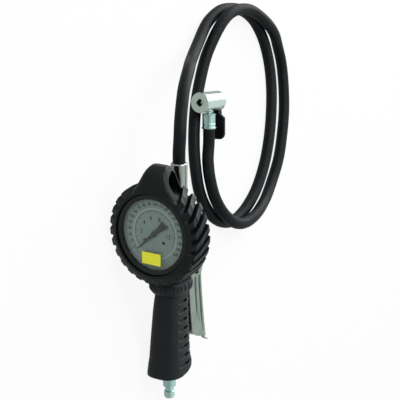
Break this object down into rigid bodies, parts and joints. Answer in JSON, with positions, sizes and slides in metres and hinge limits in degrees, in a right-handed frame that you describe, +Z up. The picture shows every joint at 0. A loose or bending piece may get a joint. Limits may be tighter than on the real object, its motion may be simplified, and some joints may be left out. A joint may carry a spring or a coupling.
{
  "type": "portable tire inflator",
  "caption": "Hand-held tyre inflator with a dial gauge in a lugged rubber boot, ribbed grip, squeeze trigger, coiled hose and clip-on chuck, lying on its side.",
  "frame": {"origin": "on the floor under the middle of the tool, without its hose and chuck", "axes": "+X from the dial's back to the trigger, +Y along the tool towards its hanging loop and hose, +Z up; the tool lies on its side"},
  "size_m": [0.3948, 0.3977, 0.1095],
  "materials": {
    "black_gloss": "gloss black",
    "clear_lens": "clear",
    "seal_rubber": "matt black",
    "sticker_yellow": "plain yellow film",
    "case_black": "black paint",
    "dial_grey": "printed grey-green",
    "brass": "turned",
    "boot_rubber": "satin black",
    "cast_aluminium": "cast satin",
    "zinc": "zinc plated",
    "nickel": "nickel plated",
    "grip_rubber": "moulded satin black",
    "hose_rubber": "matt black",
    "satin_aluminium": "satin",
    "lever_steel": "pale grey-green satin",
    "pointer_black": "matt",
    "black_plastic": "moulded black"
  },
  "bodies": {
    "tool": {"bezel_ring": "black_gloss", "gauge_lens": "clear_lens", "lens_gasket": "seal_rubber", "lens_sticker": "sticker_yellow", "gauge_case": "case_black", "dial_plate": "dial_grey", "dial_screw_left": "dial_grey", "dial_screw_right": "dial_grey", "movement_plate_front": "brass", "movement_plate_back": "brass", "movement_post_1": "brass", "movement_post_2": "brass", "movement_post_3": "brass", "movement_post_4": "brass", "bourdon_tube": "brass", "tube_tip": "brass", "link_rod": "brass", "gauge_socket": "brass", "gauge_boot": "boot_rubber", "valve_body": "cast_aluminium", "valve_seat": "seal_rubber", "stem_gland": "zinc", "stem_o_ring": "seal_rubber", "lever_pin": "nickel", "pin_clip": "zinc", "grip_sleeve": "grip_rubber", "handle_tube": "cast_aluminium", "inlet_washer": "brass", "inlet_nipple": "zinc", "inlet_filter": "brass", "hose_fitting": "zinc", "hose_ferrule": "nickel", "hose": "hose_rubber", "chuck_body": "satin_aluminium", "chuck_seal": "seal_rubber", "pin_guide": "brass", "chuck_barb": "zinc", "chuck_ferrule": "zinc", "clip_pin": "zinc"},
    "trigger": {"trigger_lever": "lever_steel"},
    "valve": {"valve_stem": "brass"},
    "needle": {"pointer": "pointer_black", "pinion_arbor": "brass"},
    "sector": {"sector_gear": "brass", "sector_arbor": "brass"},
    "chuck_clip": {"chuck_lever": "black_plastic"},
    "chuck_pin": {"push_pin": "brass"}
  },
  "joints": [
    {"name": "trigger_pivot", "type": "hinge", "parent": "tool", "child": "trigger", "pos_m": [0.02645, 0.00817, 0.04358], "axis": [0, 0.2221, -0.975], "range_deg": [0, 9], "stiffness_Nm_per_rad": 1.5, "springref_deg": -5.73},
    {"name": "valve_slide", "type": "slide", "parent": "tool", "child": "valve", "axis": [-1, 0, 0], "range_m": [0, 0.00323]},
    {"name": "sector_pivot", "type": "hinge", "parent": "tool", "child": "sector", "pos_m": [-0.03635, 0.04103, 0.05106], "axis": [1, 0, 0], "range_deg": [-54, 0], "stiffness_Nm_per_rad": 0.002, "springref_deg": 2.86},
    {"name": "needle_shaft", "type": "hinge", "parent": "tool", "child": "needle", "pos_m": [-0.03635, 0.05741, 0.05479], "axis": [1, 0, 0], "range_deg": [0, 270]},
    {"name": "chuck_clip_pivot", "type": "hinge", "parent": "tool", "child": "chuck_clip", "pos_m": [0.15086, 0.15841, 0.02308], "axis": [-0.0855, 0.1486, -0.9852], "range_deg": [0, 12], "stiffness_Nm_per_rad": 0.4, "springref_deg": -5.73},
    {"name": "chuck_pin_slide", "type": "slide", "parent": "tool", "child": "chuck_pin", "axis": [0.9898, -0.1005, -0.1011], "range_m": [0, 0.0015], "stiffness_N_per_m": 800, "springref_m": -0.0005}
  ],
  "couplings": [
    {"joint": "valve_slide", "follows": "trigger_pivot", "m_per_rad": 0.0205},
    {"joint": "needle_shaft", "follows": "sector_pivot", "ratio": -5}
  ]
}
